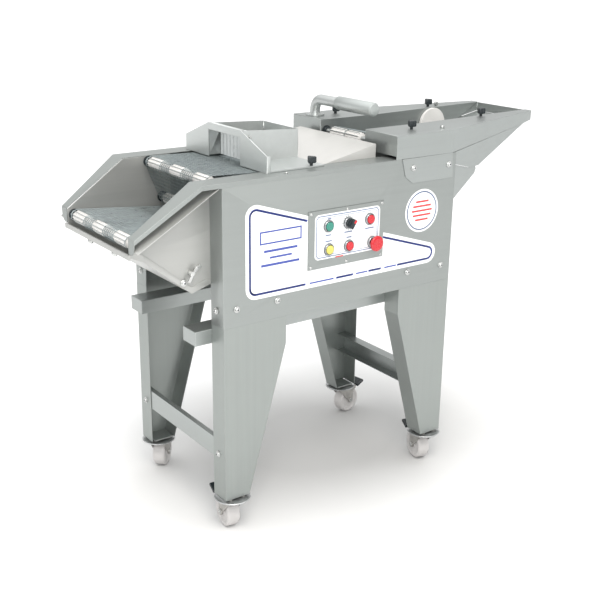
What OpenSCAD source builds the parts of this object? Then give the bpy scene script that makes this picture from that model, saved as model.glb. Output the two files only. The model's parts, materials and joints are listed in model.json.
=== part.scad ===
// Breading machine on casters: infeed belt, hood with strip curtain,
// two-step wire mesh outfeed over a crumb chute, and a push button panel.
// Lengths run along X from the front leg faces, towards the infeed end.
// Y is the width, with the control side at -Y, and Z = 0 is the floor.

/* [Body] */
// Length of the body, leg face to leg face
body_len = 717; // [700:1:740]
// Outer width over the two side panels
body_width = 440; // [430:1:450]
// Height of the body's top flange
body_top = 900; // [895:1:905]
// Height of the body's lower edge
body_bottom = 554; // [545:1:560]
// Width of the folded top flange
flange_w = 57; // [50:1:58]
// Thickness of the steel sheet
sheet = 2; // [1.5:0.5:2.5]

/* [Legs] */
// Height of the leg feet over the floor
leg_bottom = 100; // [100:1:104]
// Length of a leg's side face at the top
leg_top_len = 178; // [160:1:190]
// Length of a leg's side face at the foot
leg_foot_len = 70; // [64:1:80]
// Height where a leg starts to taper
leg_knee = 483; // [470:1:495]
// Width of the folded leg flanges
leg_flange = 55; // [50:1:58]

/* [Belts] */
// Radius of the nylon drums
drum_r = 15; // [14:0.5:16]
// Radius of the roller shafts
shaft_r = 6; // [5:0.5:6]
// Radius of the hub between the drums
hub_r = 10; // [9:0.5:11]
// Width of the wire mesh belts
mesh_w = 296; // [280:1:300]
// Width of the infeed belt
infeed_w = 122; // [112:1:130]
// Belt thickness
belt_t = 1.6; // [1.5:0.1:2]

/* [Hood] */
// Height of the hood's front plate over the floor
hood_top = 985; // [975:1:990]
// Half width of the hood's tunnel
tunnel_half = 76; // [74:1:80]

/* [Controls] */
// Radius of the push button bezels
bezel_r = 15; // [14.5:0.5:16]
// Radius of the emergency stop head
stop_r = 20; // [18:0.5:20]
// Travel of a push button
button_travel = 4; // [3:0.5:4]

/* [Casters] */
// Wheel radius
wheel_r = 40; // [38:0.5:40]
// Wheel width
wheel_w = 35; // [32:1:35]
// Horizontal distance from swivel axis to wheel axle
trail = 28; // [24:1:30]

/* [Hidden] */
$fn = 48;
half_w = body_width / 2;
flange_in = half_w - flange_w;
lip = 11;
lip_t = 1.2;
play = 0.05;
gap = 0.3;

// Nose: the far end of the outfeed cheeks
nose_x = -206;
nose_top = 793;
knee_x = -51;
nose_half = 192;
cheek_y = 163;

// Roller axes, as [x, z]
upper_front = [18, 885];
upper_rear = [290, 876];
idler = [54, 791];
lower_front = [-188, 776];
lower_rear = [330, 726];
infeed_front = [528, 929];
infeed_rear = [800, 869];
infeed_rear_r = 12;
hanger_y = 163;
hanger_t = 3;

// Chain planes on the far side, one for each chain
chain_y = [174, 186, 198];
sprocket_r = 13;
motor_axis = [545, 690];

// Infeed end
deck_x = 509;
deck_end = 1110;
deck_top = 960;
deck_in = 95;
deck_taper_x = 700;
deck_tip = 119;
deck_front_z = 908;
tip_z = 940;
hull_x = [702, 1068];

// Cable gland of the rear panel, as [y, z]
gland_at = [120, 620];
gland_r = 8;

// Control panel, as [x, z]
plate_lo = [239, 657];
plate_hi = [475, 802];
panel_face = half_w + sheet;
start_at = [299, 761];
selector_at = [360, 761];
stop_at = [428, 761];
reset_at = [301, 702];
feed_at = [363, 702];
mushroom_at = [438, 700];
stop_face = 247;

// Casters, as [x, y, trail angle]
caster_near_front = [35, -194, 83];
caster_far_front = [35, 194, 45];
caster_near_rear = [682, -194, 76];
caster_far_rear = [682, 194, 9];
CASTERS = [caster_near_front, caster_far_front, caster_near_rear, caster_far_rear];
pedal_pin = [46, 82];
pedal_end = 80;
pedal_half = 28;

// The row frame sits at the middle of the whole machine's box
front_reach = nose_x - 4;
mid_x = (front_reach + deck_end) / 2;
far_reach = caster_far_front[1] + pedal_end * sin(caster_far_front[2])
    + pedal_half * cos(caster_far_front[2]);
mid_y = (far_reach - stop_face) / 2;

STEEL = [0.70, 0.73, 0.72];
BRIGHT = [0.90, 0.90, 0.88];
DARK = [0.15, 0.18, 0.19];
WHITE = [0.93, 0.92, 0.90];
ZINC = [0.62, 0.65, 0.66];
MESH = [0.45, 0.52, 0.53];

// ---- shared shapes ----

// Moves a shape from the machine's own axes to the row frame
module placed() {
    translate([-mid_x, -mid_y, 0]) children();
}

module on_side(side) {
    if (side < 0) mirror([0, 1, 0]) children();
    else children();
}

module both_sides() {
    children();
    mirror([0, 1, 0]) children();
}

module block(lo, hi) {
    translate(lo) cube(hi - lo);
}

// A side outline in X and Z, made into a plate from y to y + t
module side_plate(outline, y, t) {
    translate([0, y + t, 0]) rotate([90, 0, 0]) linear_extrude(t) polygon(outline);
}

// A plate seen along X: an outline in Y and Z, from x to x + t
module cross_plate(outline, x, t) {
    translate([x, 0, 0]) rotate([90, 0, 90]) linear_extrude(t) polygon(outline);
}

// The part of a side outline that lies over a plan outline
module folded(outline, plan) {
    intersection() {
        side_plate(outline, 0, half_w + 5);
        linear_extrude(body_top + 200) polygon(plan);
    }
}

// A rod along Y at [x, z], from y0 to y1
module rod(at, y0, y1, r) {
    translate([at[0], y1, at[1]]) rotate([90, 0, 0]) cylinder(r = r, h = y1 - y0);
}

// A strip of constant thickness below a line of points
function below(points, t) = concat(points, [for (i = [len(points) - 1:-1:0]) points[i] - [0, t]]);

// ---- body ----

module rail_lines() {
    // Sloping rail of the outfeed cheek, with its outer lip
    top = [[0, body_top], [knee_x, body_top], [nose_x, nose_top]];
    folded(below(top, sheet), [[0, cheek_y + sheet], [0, half_w], [knee_x, half_w],
        [nose_x, nose_half], [nose_x, cheek_y + sheet]]);
    folded(below(top, lip), [[0, half_w], [0, half_w + lip_t], [knee_x, half_w + lip_t],
        [nose_x, nose_half + lip_t], [nose_x, nose_half - lip_t], [knee_x, half_w - lip_t],
        [0, half_w - lip_t]]);
    // end of the rail, turned down to the nose bar
    cross_plate([[cheek_y + sheet, 757], [178, 757], [187, 763], [nose_half, 775],
        [nose_half, nose_top - 0.5], [cheek_y + sheet, nose_top - 0.5]], nose_x, sheet);
}

module side_panel(side) {
    color(STEEL) placed() on_side(side) difference() {
        union() {
            // web
            block([0, half_w - sheet, body_bottom], [body_len, half_w, body_top]);
            // top flange
            block([0, flange_in, body_top - sheet], [body_len, half_w, body_top]);
            // front and rear return flanges
            block([0, half_w - leg_flange, body_bottom], [sheet, half_w, body_top]);
            block([body_len - sheet, half_w - leg_flange, body_bottom], [body_len, half_w, body_top]);
            // outer lip of the top flange
            block([0, half_w - sheet, body_top - lip], [hull_x[0] - 175, half_w + lip_t, body_top]);
            rail_lines();
        }
        if (side < 0) {
            switch_holes(half_w - 2 * sheet, half_w + sheet);
        } else {
            // slot where the infeed chain rises into the deck
            block([infeed_front[0] - 30, chain_y[2] - 8, body_top - 3 * sheet],
                [infeed_front[0] + 30, chain_y[2] + 8, body_top + sheet]);
        }
    }
}

module switch_holes(y0, y1) {
    for (at = [start_at, selector_at, stop_at, reset_at, feed_at, mushroom_at]) rod(at, y0, y1, 11);
}

module rear_panel() {
    color(STEEL) placed() difference() {
        block([body_len - 2 * sheet, sheet - half_w, body_bottom], [body_len - sheet, half_w - sheet, 866]);
        // hole for the cable gland
        translate([body_len - 3 * sheet, gland_at[0], gland_at[1]]) rotate([0, 90, 0])
            cylinder(r = gland_r + play, h = 4 * sheet);
    }
}

module crumb_tray() {
    // Open tray below the belts that gathers the crumbs
    floor_line = [[110, 640], [160, 572], [640, 572], [700, 640]];
    color(STEEL) placed() {
        side_plate(below(floor_line, sheet), 4 - half_w, body_width - 8);
        both_sides() side_plate([[113, 642], [161, 572], [639, 572], [697, 642]], half_w - 6, sheet);
    }
}

// ---- legs and underframe ----

// Side outline of a leg whose upright edge is at x = 0
function leg_outline() = [[0, leg_bottom], [leg_foot_len, leg_bottom], [leg_top_len, leg_knee],
    [leg_top_len, body_bottom], [0, body_bottom]];
function slant_strip() = [[leg_foot_len, leg_bottom], [leg_top_len, leg_knee],
    [leg_top_len, body_bottom], [leg_top_len - sheet, body_bottom],
    [leg_top_len - sheet, leg_knee], [leg_foot_len - sheet, leg_bottom]];

module leg(front, side) {
    turned = front ? 0 : 1;
    color(STEEL) placed() on_side(side) translate([turned * body_len, 0, 0]) mirror([turned, 0, 0]) {
        side_plate(leg_outline(), half_w - sheet, sheet);
        block([0, half_w - leg_flange, leg_bottom], [sheet, half_w - sheet, body_bottom]);
        side_plate(slant_strip(), half_w - leg_flange, leg_flange - sheet);
        // foot plate over the caster
        block([sheet + 8, half_w - leg_flange, leg_bottom],
            [leg_foot_len - 5, half_w - sheet, leg_bottom + 4]);
    }
}

// A channel across the machine: web, top and bottom flange
module cross_beam(x, depth, z0, z1, web_first) {
    web_x = web_first ? x : x + depth - sheet;
    beam_half = half_w - sheet;
    block([web_x, -beam_half, z0], [web_x + sheet, beam_half, z1]);
    block([x, -beam_half, z1 - sheet], [x + depth, beam_half, z1]);
    block([x, -beam_half, z0], [x + depth, beam_half, z0 + sheet]);
}

module underframe() {
    rail_out = half_w - leg_flange;
    rail_in = rail_out - 58;
    rail_x = [-45, 700];
    rail_z = [504, 540];
    color(STEEL) placed() {
        cross_beam(sheet, 14, 204, 256, true);
        cross_beam(body_len - sheet - 30, 30, 204, 260, false);
        both_sides() {
            block([rail_x[0], rail_in, rail_z[1] - sheet], [rail_x[1], rail_out, rail_z[1]]);
            block([rail_x[0], rail_in, rail_z[0]], [rail_x[1], rail_in + sheet, rail_z[1]]);
            block([rail_x[0], rail_out - sheet, rail_z[0]], [rail_x[1], rail_out, rail_z[1]]);
            block([rail_x[0], rail_in, rail_z[0]], [rail_x[0] + sheet, rail_out, rail_z[1]]);
        }
    }
}

// ---- outfeed ----

module outfeed_chute() {
    cheek_end = 80;
    cheek = [[cheek_end, body_top - sheet], [knee_x, body_top - sheet], [nose_x + 2, nose_top - sheet],
        [nose_x + 2, 748], [-172, 733], [-50, 637], [60, 669], [cheek_end, 770]];
    floor_line = [[nose_x + 2, 750], [-172, 735], [-50, 639], [60, 671]];
    ledge_end = -203.8;
    ledge_line = [[-7, 889], [ledge_end, 765.9]];
    hem_line = [[nose_x + 2, 765], [-172, 750], [-52, 654], [-7, 668]];
    color(STEEL) placed() {
        both_sides() {
            difference() {
                side_plate(cheek, cheek_y, sheet);
                for (at = [upper_front, idler]) rod(at, cheek_y - 1, cheek_y + sheet + 1, shaft_r + play);
            }
            // outward ledge below the rail
            folded(below(ledge_line, sheet), [[-7, cheek_y + sheet], [-7, half_w],
                [ledge_end, half_w - 14], [ledge_end, cheek_y + sheet]]);
            // hem along the floor's edge
            side_plate(below(hem_line, 16), cheek_y + sheet, sheet);
        }
        side_plate(below(floor_line, sheet), -cheek_y, 2 * cheek_y);
        // nose bar below the lower roller
        block([nose_x - 4, -cheek_y - 7, 744], [nose_x + 2 - gap, cheek_y + 7, 756]);
    }
}

module chute_latch() {
    // Two lever arms on one pivot, on the near cheek
    pivot = [-56, 690];
    color(BRIGHT) placed() mirror([0, 1, 0]) difference() {
        union() {
            rod(pivot, cheek_y + sheet + gap, cheek_y + 18, 6);
            side_plate([[-68, 672], [-62, 668], [-38, 704], [-44, 708]], cheek_y + 12, 4);
            side_plate([[-58, 686], [-52, 682], [-26, 700], [-30, 706]], cheek_y + 3, 4);
        }
        rod(pivot, cheek_y, cheek_y + 14, 3 + play);
    }
}

// ---- belts and rollers ----

// Closed loop round circles, each given as [x, z, r]
module loop(circles, width, t, mid = 0) {
    translate([0, mid + width / 2, 0]) rotate([90, 0, 0]) linear_extrude(width) difference() {
        hull() for (c = circles) translate([c[0], c[1]]) circle(r = c[2] + t);
        hull() for (c = circles) translate([c[0], c[1]]) circle(r = c[2]);
    }
}

function seat(at, r) = [at[0], at[1], r + gap];

module upper_belt() {
    color(MESH) placed() loop([seat(upper_front, drum_r), seat(upper_rear, drum_r),
        seat(idler, drum_r - 2)], mesh_w, belt_t);
}

module lower_belt() {
    color(MESH) placed() loop([seat(lower_front, drum_r), seat(lower_rear, drum_r)], mesh_w, belt_t);
}

module infeed_belt() {
    color(MESH) placed() loop([seat(infeed_front, drum_r), seat(infeed_rear, infeed_rear_r)],
        infeed_w, belt_t);
}

// Shaft with nylon drums about the places in ys, on one hub; the shaft runs from y0 to y1
module drum_roller(at, r, y0, y1, ys = [-110, 0, 110]) {
    drum_len = 58;
    hub_end = ys[len(ys) - 1] + drum_len / 2 + 2;
    color(WHITE) placed() {
        rod(at, y0, y1, shaft_r);
        difference() {
            union() {
                rod(at, -hub_end, hub_end, hub_r);
                for (y = ys) rod(at, y - drum_len / 2, y + drum_len / 2, r);
            }
            rod(at, -hub_end - 1, hub_end + 1, shaft_r);
        }
    }
}

module sprocket(at, y) {
    color(ZINC) placed() difference() {
        rod(at, y - 3, y + 3, sprocket_r);
        rod(at, y - 4, y + 4, shaft_r);
    }
}

module upper_front_roller() {
    drum_roller(upper_front, drum_r, -hanger_y - 4, hanger_y + 4);
}

module upper_rear_roller() {
    drum_roller(upper_rear, drum_r, -hanger_y - 4, chain_y[1] + 6);
    for (y = [chain_y[0], chain_y[1]]) sprocket(upper_rear, y);
}

module idler_roller() {
    drum_roller(idler, drum_r - 2, -hanger_y - 4, hanger_y + 4);
}

module lower_front_roller() {
    drum_roller(lower_front, drum_r, gap - cheek_y, cheek_y - gap);
}

module lower_rear_roller() {
    drum_roller(lower_rear, drum_r, -hanger_y - 4, chain_y[1] + 6);
    sprocket(lower_rear, chain_y[1]);
}

module infeed_front_roller() {
    drum_roller(infeed_front, drum_r, 2 - deck_in, chain_y[2] + 6, [-31, 31]);
    sprocket(infeed_front, chain_y[2]);
}

module infeed_rear_roller() {
    drum_roller(infeed_rear, infeed_rear_r, 2 - deck_in, deck_in - 2, [-31, 31]);
}

// A flange bearing against a plate at y, standing off towards the middle
module bearing(at, y, depth) {
    difference() {
        rod(at, y - depth, y, 14);
        rod(at, y - depth - 1, y + 1, shaft_r + play);
    }
}

module hanger(x0, x1, z0, axes) {
    difference() {
        block([x0, hanger_y, z0], [x1, hanger_y + hanger_t, body_top - sheet]);
        for (at = axes) rod(at, hanger_y - 1, hanger_y + hanger_t + 1, shaft_r + play);
    }
}

module roller_bearings() {
    bearing_depth = 9;
    color(DARK) placed() both_sides() {
        hanger(262, 362, 706, [upper_rear, lower_rear]);
        for (at = [upper_front, idler, upper_rear, lower_rear]) bearing(at, hanger_y, bearing_depth);
        bearing(lower_front, cheek_y, bearing_depth);
        for (at = [infeed_front, infeed_rear]) bearing(at, deck_in, bearing_depth);
    }
    guide_plate();
}

module drive_chains() {
    chain_t = 3.4;
    chain_w = 6;
    color(DARK) placed() {
        loop([seat(motor_axis, sprocket_r), seat(upper_rear, sprocket_r)], chain_w, chain_t, chain_y[0]);
        loop([seat(lower_rear, sprocket_r), seat(upper_rear, sprocket_r)], chain_w, chain_t, chain_y[1]);
        loop([seat(motor_axis, sprocket_r), seat(infeed_front, sprocket_r)], chain_w, chain_t, chain_y[2]);
    }
}

module gearmotor() {
    gear_half = 45;
    color(ZINC) placed() {
        // gearbox, output shaft with its two sprockets, and motor
        block([motor_axis[0] - gear_half, 60, motor_axis[1] - gear_half],
            [motor_axis[0] + gear_half, 150, motor_axis[1] + gear_half]);
        rod(motor_axis, 150, chain_y[2] + 6, shaft_r);
        for (y = [chain_y[0], chain_y[2]]) rod(motor_axis, y - 3, y + 3, sprocket_r);
        rod(motor_axis, -110, 60, 42);
        // bracket arms out to the far side panel
        for (x = [-gear_half, gear_half - 10]) block([motor_axis[0] + x, 150, 650],
            [motor_axis[0] + x + 10, half_w - sheet, 680]);
    }
}

// ---- hood ----

module hood() {
    x0 = 142;
    x1 = 311;
    plate_half = 188;
    window_half = tunnel_half - 3;
    window_top = 968;
    base = body_top + gap;
    front = [[-plate_half, base], [-window_half, base], [-window_half, window_top],
        [window_half, window_top], [window_half, base], [plate_half, base],
        [plate_half, 940], [tunnel_half - 2, hood_top], [2 - tunnel_half, hood_top],
        [-plate_half, 940]];
    wall = [[x0 + sheet, base + 2], [x1, base + 2], [x1, 975], [x0 + 12, hood_top - sheet],
        [x0 + sheet, hood_top - sheet]];
    color(STEEL) placed() {
        cross_plate(front, x0, sheet);
        // top edge of the front plate, turned back
        block([x0 + 1, 1 - tunnel_half, hood_top - sheet], [x0 + 12, tunnel_half - 1, hood_top]);
        both_sides() {
            block([x0 + sheet, plate_half - sheet, base], [x0 + 10, plate_half, 940]);
            side_plate(wall, tunnel_half - sheet, sheet);
            // deck beside the tunnel, turned down onto the body's flange
            block([x0 + sheet, tunnel_half, base + 2], [x1, plate_half - sheet, base + 2 + sheet]);
            block([x0 + sheet, plate_half - 2 * sheet, base], [x1, plate_half - sheet, base + 2]);
        }
        block([x1 - sheet, sheet - tunnel_half, 934], [x1, tunnel_half - sheet, 975]);
        rod([178, 972], sheet - tunnel_half, tunnel_half - sheet, 3);
    }
}

module strip_curtain() {
    strips = 9;
    curtain_half = 72;
    pitch = 2 * curtain_half / strips;
    color(MESH) placed() difference() {
        union() {
            rod([178, 972], -curtain_half, curtain_half, 5.5);
            block([177, -curtain_half, 955], [179, curtain_half, 970]);
            for (i = [0:strips - 1]) block([177, pitch * i - curtain_half, body_top + 2],
                [179, pitch * (i + 1) - curtain_half - 1, 956]);
        }
        rod([178, 972], -curtain_half - 1, curtain_half + 1, 3 + play);
    }
}

module slide_plate() {
    line = [[313, 896], [490, 934]];
    plate_half = flange_in - sheet;
    color(BRIGHT) placed() {
        side_plate(below(line, sheet), -plate_half, 2 * plate_half);
        // side fences, down past the body's flange
        both_sides() side_plate([[313, 896], [490, 934], [490, 888], [313, 886]], plate_half, sheet);
    }
}

// ---- infeed ----

function deck_outer(x) = x <= deck_taper_x ? half_w + sheet
    : half_w + sheet - (x - deck_taper_x) * (half_w + sheet - deck_tip) / (deck_end - deck_taper_x);

module deck_outer_strip(t, out = 0) {
    // Plan of a strip t thick along the deck's outer edge
    polygon([[deck_x, deck_outer(deck_x) - out], [deck_taper_x, deck_outer(deck_taper_x) - out],
        [deck_end, deck_outer(deck_end) - out], [deck_end, deck_outer(deck_end) - out - t],
        [deck_taper_x, deck_outer(deck_taper_x) - out - t], [deck_x, deck_outer(deck_x) - out - t]]);
}

module banded(outline) {
    intersection() {
        side_plate(outline, 0, half_w + 5);
        linear_extrude(body_top + 200) children();
    }
}

module infeed_decks() {
    top = [[deck_x, deck_top], [deck_taper_x, deck_top], [deck_end, deck_top + 7]];
    skirt = [[deck_x, deck_top], [deck_taper_x, deck_top], [deck_end, deck_top + 7],
        [deck_end, tip_z], [hull_x[1], 934], [hull_x[0], body_top], [deck_x, body_top]];
    // inner wall, down to the hopper's floor
    inner = [[deck_x, deck_top], [deck_taper_x, deck_top], [deck_end, deck_top + 7],
        [deck_end, tip_z], [1104, tip_z], [1046, 929], [835, 850], [791, 851], [717.6, 870],
        [deck_taper_x, 902], [deck_x, deck_front_z]];
    color(STEEL) placed() difference() {
        union() {
            // end wall of the hopper
            block([deck_end - sheet, -deck_in - 1, tip_z], [deck_end, deck_in + 1, deck_top + 7 - sheet]);
            both_sides() {
                banded(below(top, sheet)) polygon([[deck_x, deck_in], [deck_x, deck_outer(deck_x)],
                    [deck_taper_x, deck_outer(deck_taper_x)], [deck_end, deck_tip], [deck_end, deck_in]]);
                banded(skirt) deck_outer_strip(sheet);
                side_plate(inner, deck_in, sheet);
                block([deck_x, deck_in, deck_front_z], [deck_x + sheet, half_w, deck_top]);
                block([deck_end - sheet, deck_in, tip_z], [deck_end, deck_tip, deck_top + 7 - sheet]);
                // skirt plate bolted to the body's side
                side_plate([[529, body_top - 1], [542, 853], [566, 835], [707, 835], [702, body_top]],
                    half_w, sheet);
            }
        }
        // bore of the infeed roller's driven end
        rod(infeed_front, deck_in - 1, deck_in + sheet + 1, shaft_r + play);
    }
}

module infeed_chute() {
    hull_side = [[hull_x[0] + 15, body_top], [hull_x[1], 934], [835, 847], [791, 848], [717.3, 867]];
    floor_end = 1046;
    floor_line = [[717.3, 869], [791, 850], [835, 849], [floor_end, 928]];
    floor_tip = [[floor_end, 928], [1107.5, tip_z - gap]];
    color(STEEL) placed() both_sides() {
        banded(hull_side) deck_outer_strip(sheet);
        banded(below(floor_line, sheet)) polygon([[700, -0.01], [700, deck_outer(700) - sheet],
            [floor_end, deck_outer(floor_end) - sheet], [floor_end, -0.01]]);
        side_plate(below(floor_tip, sheet), -0.01, deck_in - gap);
        // gusset on the body's rear, tucked in behind the hull's lower edge
        banded([[717, 866], [791, 847], [826, 846], [829, 838], [823, 827], [717, 768]])
            deck_outer_strip(sheet, 2 * sheet);
    }
}

module guide_plate() {
    // White round topped plate on the far inner wall
    at = [918, 914];
    guide_r = 48;
    color(WHITE) placed() difference() {
        union() {
            rod(at, deck_in - 9, deck_in - gap, guide_r);
            rod(at, deck_in - 12, deck_in - 9, 8);
        }
        block([at[0] - guide_r - 1, 0, 800], [at[0] + guide_r + 1, deck_in, 903]);
    }
}

// ---- press roller ----

module press_arm() {
    base = [542, 165];
    tube_r = 14;
    bend = 30;
    axis_z = 1006;
    color(STEEL) placed() {
        translate([base[0], base[1], deck_top + gap]) cylinder(r = 26, h = 5);
        translate([base[0], base[1], deck_top + gap + 5])
            cylinder(r = tube_r, h = axis_z - bend - deck_top - gap - 5);
        translate([base[0], base[1] - bend, axis_z - bend]) rotate([90, 0, 90])
            rotate_extrude(angle = 90) translate([bend, 0]) circle(r = tube_r);
        rod([base[0], axis_z], 60, base[1] - bend, tube_r);
        rod([base[0], axis_z], -86, 60, 8);
    }
}

module press_roller() {
    at = [542, 1006];
    color(STEEL) placed() difference() {
        union() {
            rod(at, -88, 60 - gap, 18);
            rod(at, -92, -88, 15);
        }
        rod(at, -86 - gap, 61, 8 + play);
    }
}

// ---- controls ----

module control_plate() {
    color(STEEL) placed() mirror([0, 1, 0]) difference() {
        block([plate_lo[0], half_w, plate_lo[1]], [plate_hi[0], panel_face, plate_hi[1]]);
        switch_holes(half_w - 1, panel_face + 1);
    }
}

module rounded_plate(lo, hi, r, y, t) {
    translate([0, y + t, 0]) rotate([90, 0, 0]) linear_extrude(t) hull()
        for (x = [lo[0] + r, hi[0] - r], z = [lo[1] + r, hi[1] - r]) translate([x, z]) circle(r = r);
}

module side_labels() {
    label_t = 0.6;
    corner = 28;
    color(WHITE) placed() mirror([0, 1, 0]) {
        // long label with a falling top edge
        translate([0, half_w + label_t, 0]) rotate([90, 0, 0]) linear_extrude(label_t) difference() {
            hull() for (c = [[89, 640], [632, 640], [89, 812]]) translate(c) circle(r = corner);
            translate(plate_lo - [0.5, 0.5]) square(plate_hi - plate_lo + [1, 1]);
        }
        rod([605, 758], half_w, half_w + label_t, 57);
        difference() {
            rounded_plate([258, 679], [461, 792], 12, panel_face, label_t);
            for (at = [start_at, selector_at, stop_at, reset_at, feed_at, mushroom_at])
                rod(at, panel_face - 1, panel_face + 2, bezel_r + 0.5);
        }
    }
}

module bezel(at, height) {
    difference() {
        union() {
            rod(at, panel_face, panel_face + height, bezel_r);
            rod(at, half_w - 32, panel_face, 10.9);
        }
        rod(at, panel_face, panel_face + height + 1, 11.4);
        rod(at, half_w - 28, panel_face + 1, 6 + play);
    }
}

module switch_bezels() {
    color(ZINC) placed() mirror([0, 1, 0])
        for (at = [start_at, selector_at, stop_at, reset_at, feed_at, mushroom_at]) bezel(at, 6);
}

module push_button(at, shade) {
    head_back = panel_face + button_travel + 0.2;
    color(shade) placed() mirror([0, 1, 0]) {
        rod(at, head_back, head_back + 4, 11);
        rod(at, half_w - 18, head_back, 6);
    }
}

module start_button() {
    push_button(start_at, [0.10, 0.45, 0.35]);
}

module stop_button() {
    push_button(stop_at, [0.80, 0.10, 0.12]);
}

module feed_button() {
    push_button(feed_at, [0.80, 0.10, 0.12]);
}

module reset_button() {
    push_button(reset_at, [0.85, 0.80, 0.30]);
}

module emergency_stop() {
    head_back = panel_face + 6 + 6;
    color([0.82, 0.10, 0.12]) placed() mirror([0, 1, 0]) {
        rod(mushroom_at, half_w - 18, head_back, 6);
        rod(mushroom_at, head_back, stop_face - 8, 13);
        rod(mushroom_at, stop_face - 8, stop_face - 3, stop_r);
        rod(mushroom_at, stop_face - 3, stop_face, stop_r - 3);
    }
}

module selector_knob() {
    knob_back = panel_face + 6 + gap;
    color(DARK) placed() mirror([0, 1, 0]) {
        rod(selector_at, half_w - 18, knob_back, 6);
        rod(selector_at, knob_back, knob_back + 6, 12);
        translate([selector_at[0], 0, selector_at[1]]) rotate([0, 35, 0])
            block([-4, knob_back + 6, -12], [4, knob_back + 18, 12]);
    }
}

// ---- small hardware ----

// Button head bolt on a side face
module side_bolt(at, y) {
    rod(at, y, y + 3, 8);
    rod(at, y + 3, y + 7, 5.5);
}

module front_bolt(y, z) {
    translate([0, y, z]) rotate([0, -90, 0]) {
        cylinder(r = 8, h = 3);
        translate([0, 0, 3]) cylinder(r = 5.5, h = 4);
    }
}

module body_bolts() {
    screw_x = [plate_lo[0] + 8, (plate_lo[0] + plate_hi[0]) / 2, plate_hi[0] - 8];
    color(BRIGHT) placed() {
        both_sides() {
            for (x = [36, 151, 565, 683]) side_bolt([x, 598], half_w);
            for (z = [221, 593]) front_bolt(190, z);
            for (at = [[567, 874], [690, 871]]) side_bolt(at, half_w + sheet);
        }
        mirror([0, 1, 0]) {
            side_bolt([-73, 668], cheek_y + 2 * sheet);
            rod([-56, 690], cheek_y + sheet, cheek_y + 13, 3);
            for (x = screw_x, z = [plate_lo[1] + 6, plate_hi[1] - 6])
                rod([x, z], panel_face, panel_face + 2, 3.5);
        }
        // screw on the body's flange beside the hood
        translate([185, -205, body_top]) cylinder(r = 4, h = 3);
        translate([690, -190, deck_top]) cylinder(r = 6, h = 8);
        translate([948, 108, deck_top + 4.3]) cylinder(r = 4, h = 12);
        for (y = [-64, 64]) translate([nose_x + 14, y, 726]) cylinder(r = 5, h = 12);
    }
}

// Three lobed clamp knob on a stud that stands on z
module wing_knob(x, y, z) {
    color(DARK) placed() translate([x, y, z]) {
        cylinder(r = 4, h = 6);
        translate([0, 0, 6]) cylinder(r = 7.5, h = 15);
        for (a = [90, 210, 330]) rotate([0, 0, a]) translate([8.5, 0, 9]) cylinder(r = 4.5, h = 13);
    }
}

module hood_knob() {
    wing_knob(275, -180, body_top + gap + 2 + sheet + gap);
}

module deck_knob_near_front() {
    wing_knob(610, -160, deck_top + gap);
}

module deck_knob_far_front() {
    wing_knob(610, 160, deck_top + gap);
}

module deck_knob_near_rear() {
    wing_knob(915, -108, deck_top + 4);
}

module deck_knob_far_rear() {
    wing_knob(915, 108, deck_top + 4);
}

module cable_gland() {
    // Screwed gland through the rear panel
    cord_r = 4.5;
    panel_x = body_len - sheet;
    color(DARK) placed() translate([panel_x, gland_at[0], gland_at[1]]) rotate([0, 90, 0]) difference() {
        union() {
            translate([0, 0, -10]) cylinder(r = gland_r, h = 10);
            cylinder(r = 14, h = 6, $fn = 6);
            translate([0, 0, 6]) cylinder(r = 11, h = 14);
            translate([0, 0, -8]) cylinder(r = 13, h = 6, $fn = 6);
        }
        translate([0, 0, -11]) cylinder(r = cord_r, h = 32);
    }
}

// ---- casters ----

module caster_plates() {
    // Round top plate with its raceway, on four nuts below the leg's foot plate
    plate_z = leg_bottom - 8;
    color(ZINC) placed() for (c = CASTERS) translate([c[0], c[1], plate_z]) difference() {
        union() {
            cylinder(r = 46, h = 4);
            translate([0, 0, -5]) cylinder(r = 26, h = 5);
            for (x = [-19, 19], y = [-18, 18]) translate([x, y, 4]) cylinder(r = 6.5, h = 4, $fn = 6);
        }
        translate([0, 0, -6]) cylinder(r = 6 + play, h = 9);
    }
}

module at_caster(c) {
    translate([c[0], c[1], 0]) rotate([0, 0, c[2]]) children();
}

module fork(c) {
    cheek_in = wheel_w / 2 + 0.6;
    cheek_t = 2.5;
    crown_z = wheel_r * 2 + 3;
    crown_top = leg_bottom - 13.4;
    ear = [[-16, crown_top], [22, crown_top], [52, 86], [52, 76], [42, 70], [37, 40], [28, 31], [19, 40],
        [-16, 79]];
    color(ZINC) placed() at_caster(c) {
        difference() {
            union() {
                both_sides() side_plate(ear, cheek_in, cheek_t);
                block([-16, -cheek_in - cheek_t, crown_z], [22, cheek_in + cheek_t, crown_top]);
                rod([trail, wheel_r], -cheek_in - 5, cheek_in + 5, 9);
            }
            rod([trail, wheel_r], -cheek_in, cheek_in, 10);
        }
        rod([trail, wheel_r], -cheek_in, cheek_in, 5);
        rod(pedal_pin, -cheek_in, cheek_in, 3);
        translate([0, 0, crown_top]) cylinder(r = 6, h = 7);
    }
}

module wheel(c) {
    half = wheel_w / 2;
    color(WHITE) placed() at_caster(c) difference() {
        union() {
            rod([trail, wheel_r], 4 - half, half - 4, wheel_r);
            rod([trail, wheel_r], -half, half, wheel_r - 4);
        }
        rod([trail, wheel_r], -half - 1, half + 1, 5 + play);
    }
}

module pedal(c) {
    hub_half = wheel_w / 2 - 1;
    color(DARK) placed() at_caster(c) difference() {
        union() {
            rod(pedal_pin, -hub_half, hub_half, 5.5);
            side_plate([[46, 78], [55, 80], [55, 89], [46, 87.5]], -hub_half, 2 * hub_half);
            side_plate([[54, 81], [pedal_end, 92], [pedal_end - 1, 98], [54, 89]],
                -pedal_half, 2 * pedal_half);
        }
        rod(pedal_pin, -hub_half - 1, hub_half + 1, 3 + play);
    }
}

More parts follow.
